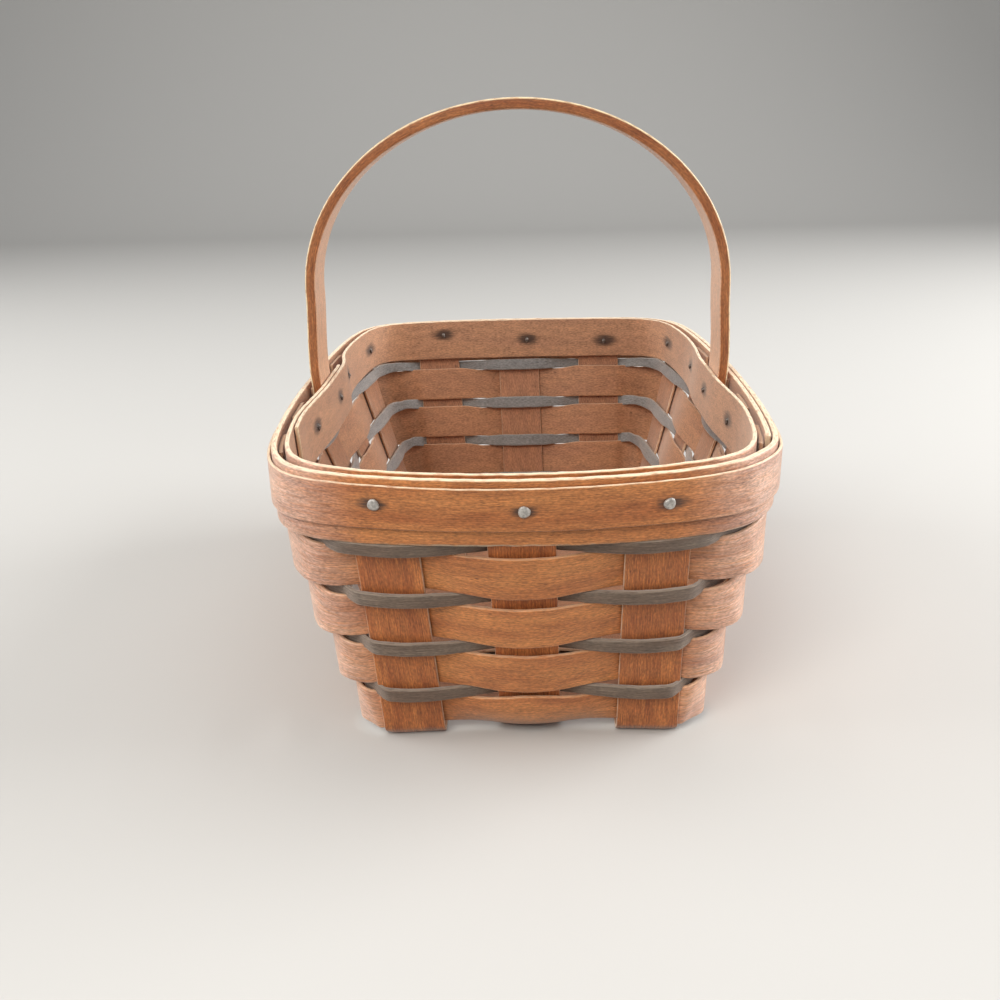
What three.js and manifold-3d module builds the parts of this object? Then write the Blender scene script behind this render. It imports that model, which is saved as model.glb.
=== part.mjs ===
// A small rectangular basket woven from flat wood splints, with a fixed bentwood handle.
// Sizes are in millimetres and +Z is up. The narrow ends face -Y and +Y, the handle spans the
// basket along X, and the origin lies under the middle of the bottom, on the surface it stands on.
//
// Eight flat stakes cross in a plain weave to make the bottom, then fold up to make the walls.
// Four wide and four narrow weavers run round the stakes, each over one and under the next.
// Three bands, one inside and two outside, clamp the tops of the stakes and the handle's legs,
// and a nail goes through the whole stack at every stake.
import * as THREE from "three";
import { mergeVertices } from "three/addons/utils/BufferGeometryUtils.js";
import Module from "manifold-3d";

const degrees = Math.PI / 180;

// The air left between any two pieces that touch on the real basket.
const clearance = 0.3;

// Stakes: three run the length of the bottom and five run across it.
const stakeWidth = 15.9;
const stakeThickness = 1.0;
const endStakeSpacing = 30.4;
const sideStakeSpacing = 29.9;
const stakeFanning = 0.027;
const backStakeLean = 0.14;

// The folds from the bottom into the walls, and the walls. A flat is the level stretch between
// the last crossing and the fold, and a bow is how far a side's middle stands proud of its ends.
// The front was bent into a fuller bow than the back, so the back corners stand further out.
const endFlat = 0.3;
const sideFlat = 0.3;
const endFoldRadius = 3;
const sideFoldRadius = 3;
const middleFoldRadius = 13;
const endLean = 14 * degrees;
const sideLean = 19.7 * degrees;
const bottomSquareness = 30;
const rimSquareness = 10;
const bottomEndBow = -2;
const bottomSideBow = 0;
const rimFrontBow = 13;
const rimBackBow = 4;
const rimSideBow = 5;
const rimShift = -1.6;

// Weavers. A course is a wide one with a narrow one above it.
const courses = 4;
const wideWidth = 11.4;
const wideThickness = 1.0;
const narrowWidth = 3.5;
const narrowThickness = 1.2;
const weaverGap = 0.2;
const bottomWeaverTop = 13.2;
const bottomWeaverLift = 1.5;
const halfWeaverLap = 0.25;
const cornerLean = 5 * degrees;
const cornerSwell = 0.8;

// Rim bands, of which the trim is the outermost.
const rimHeight = 16;
const rimLean = 5 * degrees;
const innerBandThickness = 1.2;
const innerBandRise = 1.1;
const innerBandGap = 0.6;
const outerBandThickness = 1.5;
const trimThickness = 0.8;
const trimHeight = 10.6;
const trimDrop = 1.5;
const stakeDrop = 1.6;

// Handle strap, as wide as the stakes that it stands against.
const handleWidth = stakeWidth;
const handleThickness = 3.0;
const handleEdge = 0.8;
const handleHeight = 157.7;
const archSpring = 105;
const legDrawIn = 0.6;

// Nails.
const nailHeadDiameter = 2.9;
const nailHeadHeight = 0.7;
const nailDiameter = 1.3;
const nailTip = 0.7;
const nailDrop = 7.2;

const wood = new THREE.MeshStandardMaterial({ color: 0xc08a58, roughness: 0.6, metalness: 0 });
const dyedWood = new THREE.MeshStandardMaterial({ color: 0x6f6358, roughness: 0.65, metalness: 0 });
const steel = new THREE.MeshStandardMaterial({ color: 0x8c8a88, roughness: 0.45, metalness: 1 });

const smooth = THREE.MathUtils.smoothstep;
const mix = THREE.MathUtils.lerp;

// Heights that follow from the sizes. Where two stakes cross in the bottom they lie one crossing
// apart, and bottomLevel, midway between them, is where every wall starts.
const crossing = stakeThickness + clearance;
const bottomLevel = stakeThickness / 2 + crossing / 2;
const courseHeight = (wideWidth + narrowWidth + 2 * weaverGap) * Math.cos(endLean);
const narrowRise = (narrowWidth + weaverGap) * Math.cos(endLean);
const weavingTop = bottomWeaverTop + (courses - 1) * courseHeight + narrowRise;
const rimBottom = weavingTop + clearance;
const rimTop = rimBottom + rimHeight * Math.cos(rimLean);

// The wall seen from its edge: an arc of the fold radius that leaves the bottom level, a straight
// lean, and the steeper stretch inside the rim. Reach is measured outwards from where the
// straight wall would meet the bottom, and slope is the wall's angle from level.
class Profile {
  constructor(lean, foldRadius) {
    this.lean = lean;
    this.foldRadius = foldRadius;
    this.turn = Math.PI / 2 - lean;
    this.foldLength = foldRadius * this.turn;
    this.foldTangent = foldRadius * Math.tan(this.turn / 2);
    this.foldTop = bottomLevel + foldRadius * (1 - Math.cos(this.turn));
    this.straightLength = (rimBottom - this.foldTop) / Math.cos(lean);
  }

  // The distance up the wall, from the start of the fold, to a height.
  lengthTo(height) {
    if (height < this.foldTop) {
      const rise = Math.max(height - bottomLevel, 0);
      return this.foldRadius * Math.acos(1 - rise / this.foldRadius);
    }
    const straight = (Math.min(height, rimBottom) - this.foldTop) / Math.cos(this.lean);
    const inRim = Math.max(height - rimBottom, 0) / Math.cos(rimLean);
    return this.foldLength + straight + inRim;
  }

  // Reach, height and slope at a distance up the wall.
  at(length) {
    const angle = Math.min(Math.max(length, 0) / this.foldRadius, this.turn);
    const beyond = Math.max(length - this.foldLength, 0);
    const straight = Math.min(beyond, this.straightLength);
    const inRim = beyond - straight;
    return {
      reach: this.foldRadius * Math.sin(angle) - this.foldTangent
        + straight * Math.sin(this.lean) + inRim * Math.sin(rimLean),
      height: bottomLevel + this.foldRadius * (1 - Math.cos(angle))
        + straight * Math.cos(this.lean) + inRim * Math.cos(rimLean),
      slope: inRim > 0 ? Math.PI / 2 - rimLean : angle,
    };
  }

  reachAt(height) {
    return this.at(this.lengthTo(height)).reach;
  }
}

const endProfile = new Profile(endLean, endFoldRadius);
const sideProfile = new Profile(sideLean, sideFoldRadius);
const middleProfile = new Profile(endLean, middleFoldRadius);

// The stakes' upright ends, anticlockwise from the left one of the front, so that a place round
// the basket is counted in stakes: 1 is the middle of the front and 2.5 is the first corner.
const wallStakes = [3, 5, 3, 5];
const uprights = wallStakes.flatMap((count, wall) =>
  Array.from({ length: count }, (_, i) => ({ wall, fromMiddle: i - (count - 1) / 2 })));
const round = uprights.length;
const [frontMiddle, rightHandle, backMiddle, leftHandle] = uprights.flatMap((upright, place) =>
  (upright.fromMiddle === 0 ? [place] : []));

const uprightAt = (place) => uprights[((place % round) + round) % round];
const isOnEnd = ({ wall }) => wall % 2 === 0;
const isByBackCorner = ({ wall, fromMiddle }) =>
  (wall === 1 && fromMiddle === 2) || (wall === 3 && fromMiddle === -2);

// Half of the bottom's length and width, out to where the straight walls would meet it.
const crossingFlat = stakeWidth / 2 + clearance / 2;
const halfBottomLength = 2 * sideStakeSpacing + crossingFlat + endFlat + middleProfile.foldTangent;
const halfBottomWidth = endStakeSpacing + crossingFlat + sideFlat + sideProfile.foldTangent;

// The wall's plan at one height, run anticlockwise from the middle of the front: a rectangle with
// soft corners whose sides bow outwards, more at the rim than at the bottom.
class Plan extends THREE.Curve {
  constructor(height) {
    super();
    this.arcLengthDivisions = 400;
    const share = height / rimTop;
    this.halfWidth = halfBottomWidth + sideProfile.reachAt(height);
    this.halfLength = halfBottomLength + endProfile.reachAt(height);
    this.squareness = 1 / mix(1 / bottomSquareness, 1 / rimSquareness, share);
    this.frontBow = mix(bottomEndBow, rimFrontBow, share);
    this.backBow = mix(bottomEndBow, rimBackBow, share);
    this.sideBow = mix(bottomSideBow, rimSideBow, share);
    this.rise = height - bottomLevel;
    this.shift = (rimShift * Math.min(height, rimBottom)) / rimBottom;
  }

  getPoint(t, target = new THREE.Vector3()) {
    const angle = (t - 0.25) * 2 * Math.PI;
    const across = Math.abs(Math.cos(angle) / this.halfWidth) ** this.squareness;
    const along = Math.abs(Math.sin(angle) / this.halfLength) ** this.squareness;
    const radius = (across + along) ** (-1 / this.squareness);
    const x = radius * Math.cos(angle);
    const y = radius * Math.sin(angle);
    const sideDrop = (this.sideBow / this.halfWidth) * (y / this.halfLength) ** 2;
    const endBow = y < 0 ? this.frontBow : this.backBow;
    const endDrop = (endBow / this.halfLength) * (x / this.halfWidth) ** 2;
    return target.set(x * (1 - sideDrop) + this.shift, y * (1 - endDrop), 0);
  }

  // The distance round the plan to the middle of a numbered stake. The spacing opens upwards, and
  // the last stake of each side leans into the back corner.
  arcOfStake(place) {
    const upright = uprightAt(place);
    const spacing = (isOnEnd(upright) ? endStakeSpacing : sideStakeSpacing) + stakeFanning * this.rise;
    const wallMiddle = (Math.floor(place / round) + upright.wall / 4) * this.getLength();
    const lean = isByBackCorner(upright) ? backStakeLean * this.rise : 0;
    return wallMiddle + upright.fromMiddle * spacing + Math.sign(upright.fromMiddle) * lean;
  }
}

const plans = new Map();
function planAt(height) {
  const key = height.toFixed(3);
  if (!plans.has(key)) plans.set(key, new Plan(height));
  return plans.get(key);
}

// The wall's middle surface at a place and height, and the level direction straight out of it.
// Aside moves the point that far round the wall.
function wallAt(place, height, aside = 0) {
  const plan = planAt(height);
  const before = Math.floor(place);
  const arc = mix(plan.arcOfStake(before), plan.arcOfStake(before + 1), place - before) + aside;
  const turns = arc / plan.getLength();
  const point = plan.getPointAt(turns - Math.floor(turns));
  const along = plan.getTangentAt(turns - Math.floor(turns));
  point.z = height;
  return { point, outward: new THREE.Vector3(along.y, -along.x, 0) };
}

function isRoundCorner(place) {
  const before = Math.floor(place);
  return uprightAt(before).wall !== uprightAt(before + 1).wall;
}

// How much a place belongs to a corner at a height: nothing over the end wall's stake, 1 midway
// round the corner, and nothing again over the side wall's stake.
function cornerShare(place, height) {
  if (!isRoundCorner(place)) return 0;
  const before = Math.floor(place);
  const plan = planAt(height);
  const stakeEdge = stakeWidth / 2 / (plan.arcOfStake(before + 1) - plan.arcOfStake(before));
  const fromEnd = isOnEnd(uprightAt(before)) ? place - before : before + 1 - place;
  return smooth(fromEnd, stakeEdge + 0.1, 0.55) * (1 - smooth(fromEnd, 0.7, 1));
}

// The distance, in stakes, from a place to an upright or to the one opposite it.
function distanceFrom(place, upright) {
  const half = round / 2;
  const past = (((place - upright) % half) + half) % half;
  return Math.min(past, half - past);
}

// Follows the wall down from a height at a place. A flat strip can't follow the cone of a corner,
// so there it hangs straight and stands steeper than the wall beside it.
function hang(place, top, drop) {
  const side = wallAt(place, top).outward.x ** 2;
  const middle = (1 - smooth(distanceFrom(place, frontMiddle), 0.3, 1)) * (1 - side);
  const end = 1 - side - middle;
  const onEnd = endProfile.at(endProfile.lengthTo(top) - drop);
  const onSide = sideProfile.at(sideProfile.lengthTo(top) - drop);
  const onMiddle = middleProfile.at(middleProfile.lengthTo(top) - drop);
  const drawnIn = middleProfile.reachAt(onMiddle.height) - endProfile.reachAt(onMiddle.height);
  const wallHeight = end * onEnd.height + side * onSide.height + middle * onMiddle.height;
  const wallSlope = end * onEnd.slope + side * onSide.slope + middle * onMiddle.slope;

  const corner = cornerShare(place, top);
  const straightLean = top > rimBottom ? rimLean : cornerLean;
  const straightHeight = top - drop * Math.cos(straightLean);
  const endReach = endProfile.reachAt(top) - endProfile.reachAt(straightHeight);
  const sideReach = sideProfile.reachAt(top) - sideProfile.reachAt(straightHeight);
  const steeper = mix(endReach, sideReach, side) - drop * Math.sin(straightLean);
  return {
    height: mix(wallHeight, straightHeight, corner),
    slope: mix(wallSlope, Math.PI / 2 - straightLean, corner),
    shift: mix(middle * drawnIn, steeper, corner),
  };
}

// A point at the wall, moved by shift straight out and by away square to the wall's slope, with
// the direction that the wall faces there.
function pointAt(place, { height, slope, shift }, away, aside = 0) {
  const { point, outward } = wallAt(place, height, aside);
  const face = outward.clone().multiplyScalar(Math.sin(slope));
  face.z = -Math.cos(slope);
  point.addScaledVector(outward, shift).addScaledVector(face, away);
  return { point, face };
}

// Six times the volume inside a set of triangles, negative when they face inwards.
function sixVolumes(points, faces) {
  let sum = 0;
  for (let i = 0; i < faces.length; i += 3) {
    const normal = points[faces[i + 1]].clone().cross(points[faces[i + 2]]);
    sum += points[faces[i]].dot(normal);
  }
  return sum;
}

// A closed solid through a row of sections. A section is two lists of points, one for each face
// of a strip, in the same order across it.
function loft(sections) {
  const across = sections[0].outer.length;
  const ring = 2 * across;
  const points = sections.flatMap(({ outer, inner }) => [...outer, ...inner.toReversed()]);
  const faces = [];
  const addQuad = (a, b, c, d) => faces.push(a, b, c, a, c, d);
  for (let i = 0; i + 1 < sections.length; i++) {
    for (let k = 0; k < ring; k++) {
      const next = (k + 1) % ring;
      addQuad(i * ring + k, i * ring + next, (i + 1) * ring + next, (i + 1) * ring + k);
    }
  }
  const last = (sections.length - 1) * ring;
  for (let k = 0; k + 1 < across; k++) {
    addQuad(k, ring - 1 - k, ring - 2 - k, k + 1);
    addQuad(last + k, last + k + 1, last + ring - 2 - k, last + ring - 1 - k);
  }
  const geometry = new THREE.BufferGeometry().setFromPoints(points);
  return geometry.setIndex(sixVolumes(points, faces) < 0 ? faces.toReversed() : faces);
}

// Places to put a section at: every quarter of a stake's spacing, and every eighth round corners
// and beside the stakes that lean into them.
function placesBetween(from, to) {
  const isCurved = (place) => isRoundCorner(place) || isByBackCorner(uprightAt(Math.round(place)));
  const places = [from];
  for (let eighth = Math.floor(from * 8) + 1; eighth < to * 8; eighth++) {
    if (eighth % 2 === 0 || isCurved(eighth / 8)) places.push(eighth / 8);
  }
  return [...places, to];
}

// A strip that runs round the basket from one place to another. Its top edge is level, apart from
// a lift over the middle stakes of the ends. Away gives how far its middle lies from the wall's.
function roundStrip({ from, to, top, width, thickness, away, lift = 0, acrossSteps = 1 }) {
  const sections = placesBetween(from, to).map((place) => {
    const outer = [];
    const inner = [];
    const lifted = top + lift * (1 - smooth(distanceFrom(place, frontMiddle), 0, 0.45));
    for (let step = 0; step <= acrossSteps; step++) {
      const hung = hang(place, lifted, (width * step) / acrossSteps);
      outer.push(pointAt(place, hung, away(place) + thickness / 2).point);
      inner.push(pointAt(place, hung, away(place) - thickness / 2).point);
    }
    return { outer, inner };
  });
  return loft(sections);
}

// A weaver passes outside the stakes of one parity and inside the others in a cosine wave, just
// deep enough to clear the edges of the stakes. Its ends lap behind one stake, the last end
// lying inside the first.
function weaver({ top, width, thickness, outsideOdd, lapAt, lift, acrossSteps }) {
  const clearOfStake = stakeThickness / 2 + clearance + thickness / 2;
  const edgePhase = (Math.PI * stakeWidth) / 2 / Math.min(endStakeSpacing, sideStakeSpacing);
  const amplitude = clearOfStake / Math.cos(edgePhase);
  const side = outsideOdd ? -1 : 1;
  const lapStart = lapAt + round - halfWeaverLap;
  const away = (place) => {
    const wave = side * amplitude * Math.cos(Math.PI * place);
    const swell = -side * cornerSwell * cornerShare(place, top);
    return wave + swell - (thickness + clearance) * smooth(place, lapStart - 0.5, lapStart);
  };
  const [from, to] = [lapAt - halfWeaverLap, lapAt + round + halfWeaverLap];
  return roundStrip({ from, to, top, width, thickness, away, lift, acrossSteps });
}

// The profile of the wall that an upright stands in.
function profileOf(upright) {
  if (!isOnEnd(upright)) return sideProfile;
  return upright.fromMiddle === 0 ? middleProfile : endProfile;
}

// One upright end of a stake, from the start of its fold to its top. It leaves the bottom at its
// own level and has settled into the wall's middle by halfway up the fold. Turned is -1 when the
// stake's columns run the other way round the basket.
function uprightEnd(place, level, turned) {
  const profile = profileOf(uprightAt(place));
  const wallProfile = isOnEnd(uprightAt(place)) ? endProfile : sideProfile;
  const toRim = profile.lengthTo(rimBottom);
  const toTop = profile.lengthTo(rimTop) - stakeDrop;
  const foldSteps = [0, 0.25, 0.5, 0.75].map((share) => share * profile.foldLength);
  const wallSteps = [0, 0.5, 1].map((share) => mix(profile.foldLength, toRim, share));
  return [...foldSteps, ...wallSteps, toTop].map((length) => {
    const { height, slope, reach } = profile.at(length);
    const hung = { height, slope, shift: reach - wallProfile.reachAt(height) };
    const settled = smooth(length, 0, profile.foldLength / 2);
    const faceAt = (away) => [-1, 0, 1].map((column) =>
      pointAt(place, hung, away, (turned * column * stakeWidth) / 2).point);
    const middle = -level * (1 - settled);
    return {
      outer: faceAt(middle + stakeThickness / 2),
      inner: faceAt(middle - stakeThickness / 2),
    };
  });
}

// The stretch of a stake in the bottom, between the sections where its two folds start. It lies
// level at each crossing and slopes straight from one to the next.
function bottomStretch(start, end, axis, middles, levels) {
  const forwards = Math.sign(end.outer[0][axis] - start.outer[0][axis]);
  return middles.flatMap((middle, i) => [-1, 1].map((edge) => {
    const position = middle + edge * forwards * crossingFlat;
    const faceAt = (height) => start.outer.map((from, column) => {
      const to = end.outer[column];
      const share = (position - from[axis]) / (to[axis] - from[axis]);
      return from.clone().lerp(to, share).setZ(height);
    });
    const level = bottomLevel + levels[i];
    return {
      outer: faceAt(level - stakeThickness / 2),
      inner: faceAt(level + stakeThickness / 2),
    };
  }));
}

// A stake comes down one wall, crosses the bottom and goes up the opposite wall. In the bottom it
// passes above and below the stakes that it crosses by turns.
function stake({ first, second, axis, middles, startsAbove }) {
  const levels = middles.map((_, i) => ((i % 2 === 0) === startsAbove ? crossing : -crossing) / 2);
  const down = uprightEnd(first, levels[0], 1).toReversed();
  const up = uprightEnd(second, levels.at(-1), -1);
  return loft([...down, ...bottomStretch(down.at(-1), up[0], axis, middles, levels), ...up]);
}

// The rim bands. Each laps over its own start, where the later layer rises away from the stakes
// within lapRise, a share of a stake's spacing.
const risen = (place, { from, lapRise }) => smooth(place, from + round - lapRise, from + round);
const outsideStake = stakeThickness / 2 + clearance;
const outerLayer = outerBandThickness + clearance;

// The inner band bulges round the handle's legs.
const innerBand = {
  from: 12.5,
  to: 30.75,
  lapRise: 0.65,
  top: rimTop,
  width: rimHeight - innerBandRise,
  thickness: innerBandThickness,
  away(place) {
    const free = -(stakeThickness / 2 + innerBandGap + innerBandThickness / 2);
    const pressed = -(outsideStake + handleThickness + clearance + innerBandThickness / 2);
    const legEdge = handleWidth / 2 / sideStakeSpacing;
    const atLeg = 1 - smooth(distanceFrom(place, rightHandle), legEdge, 1.5);
    return mix(free, pressed, atLeg) - (innerBandThickness + clearance) * risen(place, innerBand);
  },
};

const outerBand = {
  from: 2.875,
  to: 23.25,
  lapRise: 0.375,
  top: rimTop,
  width: rimHeight - clearance,
  thickness: outerBandThickness,
  away(place) {
    return outsideStake + outerBandThickness / 2 + outerLayer * risen(place, outerBand);
  },
};

// The trim lies on the outer band, and steps out where that is doubled.
const trimBand = {
  from: 8.5,
  to: 25.5,
  lapRise: 0.65,
  top: rimTop - trimDrop * Math.cos(rimLean),
  width: trimHeight,
  thickness: trimThickness,
  away(place) {
    const { from, to, lapRise } = outerBand;
    const past = (place - from + lapRise + round) % round;
    const doubled = to - from - round + lapRise;
    const out = smooth(past, 0, lapRise) - smooth(past, doubled, doubled + lapRise);
    const onOuter = outsideStake + outerLayer + trimThickness / 2 + outerLayer * out;
    return onOuter + (trimThickness + clearance) * risen(place, trimBand);
  },
};

// The handle's strap seen from the front. Its legs stand between the inner band and the stakes,
// rise to where the arch springs and end in half an ellipse.
function handleStrap() {
  const beside = -(outsideStake + handleThickness / 2);
  const foot = pointAt(rightHandle, hang(rightHandle, rimTop, rimHeight - innerBandRise), beside).point;
  const atRim = pointAt(rightHandle, hang(rightHandle, rimTop, 0), beside).point;
  const footPoint = new THREE.Vector2(foot.x - rimShift, foot.z);
  const rimPoint = new THREE.Vector2(atRim.x - rimShift, atRim.z);
  const spring = new THREE.Vector2(rimPoint.x - legDrawIn, archSpring);
  const pull = (archSpring - atRim.z) / 3;
  const alongRim = new THREE.Vector2(Math.sin(rimLean), Math.cos(rimLean)).multiplyScalar(pull);
  const belowSpring = spring.clone().setY(archSpring - pull);
  const leg = new THREE.LineCurve(footPoint, rimPoint);
  const rise = new THREE.CubicBezierCurve(rimPoint, rimPoint.clone().add(alongRim), belowSpring, spring);
  const archRise = handleHeight - handleThickness / 2 - archSpring;
  const arch = new THREE.EllipseCurve(0, archSpring, spring.x, archRise, 0, Math.PI / 2);

  const stops = [[leg, 1], [rise, 5], [arch, 14]].flatMap(([curve, steps]) =>
    Array.from({ length: steps }, (_, i) => ({
      point: curve.getPoint(i / steps),
      along: curve.getTangent(i / steps),
    })));
  const crown = { point: new THREE.Vector2(0, archSpring + archRise), along: new THREE.Vector2(-1, 0) };
  const mirrored = stops.map(({ point, along }) => ({
    point: new THREE.Vector2(-point.x, point.y),
    along: new THREE.Vector2(along.x, -along.y),
  }));
  const strap = loft([...stops, crown, ...mirrored.toReversed()].map(strapSection));
  return strap.translate(rimShift, 0, 0);
}

// A cross-section of the strap, with its four long edges shaved off.
function strapSection({ point, along }) {
  const halfWidth = handleWidth / 2;
  const halfThickness = handleThickness / 2;
  const faceAt = (side) => [-1, -1, 1, 1].map((end, i) => {
    const isEdge = i === 0 || i === 3;
    const away = side * (halfThickness - (isEdge ? handleEdge : 0));
    const across = end * (halfWidth - (isEdge ? 0 : handleEdge));
    return new THREE.Vector3(point.x + along.y * away, across, point.y - along.x * away);
  });
  return { outer: faceAt(1), inner: faceAt(-1) };
}

// Where a nail goes through the rim at an upright, and how far out the faces of the stack are.
function nailAt(place) {
  const hung = hang(place, rimTop, nailDrop);
  const { point, face } = pointAt(place, hung, 0);
  const layers = (band) => [place, place + round]
    .filter((turn) => turn > band.from && turn < band.to)
    .map((turn) => band.away(turn));
  const head = Math.max(...layers(trimBand)) + trimThickness / 2 + clearance;
  const tip = Math.min(...layers(innerBand)) - innerBandThickness / 2 - nailTip;
  return { point, face, head, tip };
}

const solids = await Module();
solids.setup();

function toManifold(geometry) {
  const vertProperties = new Float32Array(geometry.getAttribute("position").array);
  const triVerts = new Uint32Array(geometry.index.array);
  return new solids.Manifold(new solids.Mesh({ numProp: 3, vertProperties, triVerts }));
}

function toGeometry(solid) {
  const { vertProperties, triVerts } = solid.getMesh();
  const geometry = new THREE.BufferGeometry();
  geometry.setAttribute("position", new THREE.BufferAttribute(vertProperties, 3));
  return geometry.setIndex(new THREE.BufferAttribute(triVerts, 1));
}

// A closed cylinder or cone frustum that stands on +Y between two heights.
function pin(radiusTop, radiusBottom, from, to) {
  const geometry = new THREE.CylinderGeometry(radiusTop, radiusBottom, to - from, 6);
  geometry.deleteAttribute("normal");
  geometry.deleteAttribute("uv");
  return mergeVertices(geometry.translate(0, (from + to) / 2, 0));
}

// A nail with a low domed head outside and its clinched tip showing inside.
function nail({ head, tip }) {
  const shank = pin(nailDiameter / 2, nailDiameter / 2, tip, head + nailHeadHeight / 2);
  const dome = pin(nailHeadDiameter / 3, nailHeadDiameter / 2, head, head + nailHeadHeight);
  return toGeometry(toManifold(shank).add(toManifold(dome)));
}

const up = new THREE.Vector3(0, 1, 0);
const nails = uprights.map((_, place) => nailAt(place));
const bores = nails.map(({ point, face, head, tip }) => {
  const bore = pin(nailDiameter / 2 + clearance, nailDiameter / 2 + clearance, tip - 1, head + 1);
  bore.applyQuaternion(new THREE.Quaternion().setFromUnitVectors(up, face));
  return toManifold(bore.translate(point.x, point.y, point.z));
});

// Drills a piece for the nails at some of the uprights.
function drilled(geometry, places) {
  const tools = places.map((place) => bores[place]);
  return toGeometry(solids.Manifold.difference([toManifold(geometry), ...tools]));
}

const basket = new THREE.Group();
basket.name = "basket";

function addPiece(name, geometry, material) {
  const piece = new THREE.Mesh(geometry, material);
  piece.name = name;
  basket.add(piece);
  return piece;
}

const longMiddles = [-2, -1, 0, 1, 2].map((step) => step * sideStakeSpacing);
const crossMiddles = [1, 0, -1].map((step) => step * endStakeSpacing);
["left", "centre", "right"].forEach((side, i) => {
  const ends = [i, backMiddle + 1 - i];
  const route = { axis: "y", middles: longMiddles, startsAbove: i === 1 };
  const piece = stake({ first: ends[0], second: ends[1], ...route });
  addPiece(`long_stake_${side}`, drilled(piece, ends), wood);
});
longMiddles.forEach((_, i) => {
  const ends = [rightHandle - 2 + i, leftHandle + 2 - i];
  const route = { axis: "x", middles: crossMiddles, startsAbove: i % 2 === 0 };
  const piece = stake({ first: ends[0], second: ends[1], ...route });
  addPiece(`cross_stake_${i + 1}`, drilled(piece, ends), wood);
});

for (let course = 0; course < courses; course++) {
  const top = bottomWeaverTop + course * courseHeight;
  const toLeft = course % 2 === 0;
  const wide = {
    top,
    width: wideWidth,
    thickness: wideThickness,
    outsideOdd: true,
    lapAt: toLeft ? leftHandle + 1 : rightHandle - 1,
    ...(course === 0 && { lift: bottomWeaverLift, acrossSteps: 2 }),
  };
  const narrow = {
    top: top + narrowRise,
    width: narrowWidth,
    thickness: narrowThickness,
    outsideOdd: false,
    lapAt: toLeft ? rightHandle - 2 : leftHandle + 2,
  };
  addPiece(`wide_weaver_${course + 1}`, weaver(wide), wood);
  addPiece(`narrow_weaver_${course + 1}`, weaver(narrow), dyedWood);
}

const everyUpright = uprights.map((_, place) => place);
addPiece("rim_inner_band", drilled(roundStrip(innerBand), everyUpright), wood);
addPiece("rim_outer_band", drilled(roundStrip(outerBand), everyUpright), wood);
addPiece("rim_trim_band", drilled(roundStrip(trimBand), everyUpright), wood);
addPiece("handle", drilled(handleStrap(), [rightHandle, leftHandle]), wood);

nails.forEach((size, i) => {
  const piece = addPiece(`nail_${i + 1}`, nail(size), steel);
  piece.position.copy(size.point);
  piece.quaternion.setFromUnitVectors(up, size.face);
});

// The laps make the right side and the back thicker, so the basket is moved to centre its box.
basket.position.set(-rimShift - outerLayer / 2, -(trimThickness + clearance) / 2, 0);

export default basket;
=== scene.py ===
# %% [markdown]
# # A woven splint basket
#
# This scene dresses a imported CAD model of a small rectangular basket. Every strip of wood in the
# CAD model is a coarse solid, right in size and place but flat-sided, so each one is replaced by
# a finer surface that follows the same path: splints with soft edges, a grain that runs along
# them, and cut ends. The nails are replaced too, by hammered heads and turned-over points.
#
# The basket is nearly all one wood, so its looks depend on two things: strips that bend as real
# splint bends, and a wood finish that knows which way each strip runs.

import math

import bpy
import numpy as np
from mathutils import Matrix, Vector


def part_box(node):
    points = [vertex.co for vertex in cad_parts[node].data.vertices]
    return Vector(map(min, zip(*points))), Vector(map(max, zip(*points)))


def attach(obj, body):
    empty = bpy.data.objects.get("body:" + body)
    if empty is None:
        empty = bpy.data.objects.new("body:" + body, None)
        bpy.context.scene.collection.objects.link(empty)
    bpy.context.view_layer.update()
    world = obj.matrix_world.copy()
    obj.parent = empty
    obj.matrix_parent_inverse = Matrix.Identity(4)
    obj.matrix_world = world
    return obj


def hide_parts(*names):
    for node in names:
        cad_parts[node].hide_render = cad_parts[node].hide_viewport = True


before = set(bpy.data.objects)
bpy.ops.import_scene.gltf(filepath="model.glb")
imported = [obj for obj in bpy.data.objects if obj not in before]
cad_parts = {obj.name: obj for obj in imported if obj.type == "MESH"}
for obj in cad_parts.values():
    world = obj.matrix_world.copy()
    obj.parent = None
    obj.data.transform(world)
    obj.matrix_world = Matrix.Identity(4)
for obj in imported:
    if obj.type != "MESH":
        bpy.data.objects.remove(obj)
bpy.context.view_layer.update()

# %% [markdown]
# ## The sizes of the basket
#
# A basket maker starts from the splints: how wide and thick they are, and how far apart the
# upright ones, the stakes, stand. These are the values that the CAD source uses, in millimetres,
# so that each surface lands on the solid that it replaces. Only `handle_rounding` is this scene's
# own, because a fine surface can show a crisper edge than the solid does.

# %% Sizes in millimetres
clearance = 0.3
stake_width, stake_thickness = 15.9, 1.0
end_spacing, side_spacing, fanning, back_lean = 30.4, 29.9, 0.027, 0.14

end_flat, side_flat = 0.3, 0.3
end_fold, side_fold, middle_fold = 3.0, 3.0, 13.0
end_lean, side_lean = math.radians(14), math.radians(19.7)
bottom_squareness, rim_squareness = 30, 10
bottom_end_bow, bottom_side_bow = -2, 0
rim_front_bow, rim_back_bow, rim_side_bow = 13, 4, 5
rim_shift = -1.6

courses = 4
wide_width, wide_thickness = 11.4, 1.0
narrow_width, narrow_thickness = 3.5, 1.2
weaver_gap, bottom_weaver_top, bottom_weaver_lift = 0.2, 13.2, 1.5
half_lap = 0.25
corner_lean, corner_swell = math.radians(5), 0.8

rim_height, rim_lean = 16, math.radians(5)
inner_thickness, inner_rise, inner_gap = 1.2, 1.1, 0.6
outer_thickness, trim_thickness = 1.5, 0.8
trim_height, trim_drop, stake_drop = 10.6, 1.5, 1.6

handle_width, handle_thickness, handle_rounding = 15.9, 3.0, 0.55
handle_height, arch_spring, leg_draw_in = 157.7, 105, 0.6

nail_head, nail_head_height, nail_shank, nail_drop = 2.9, 0.7, 1.3, 7.2

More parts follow.
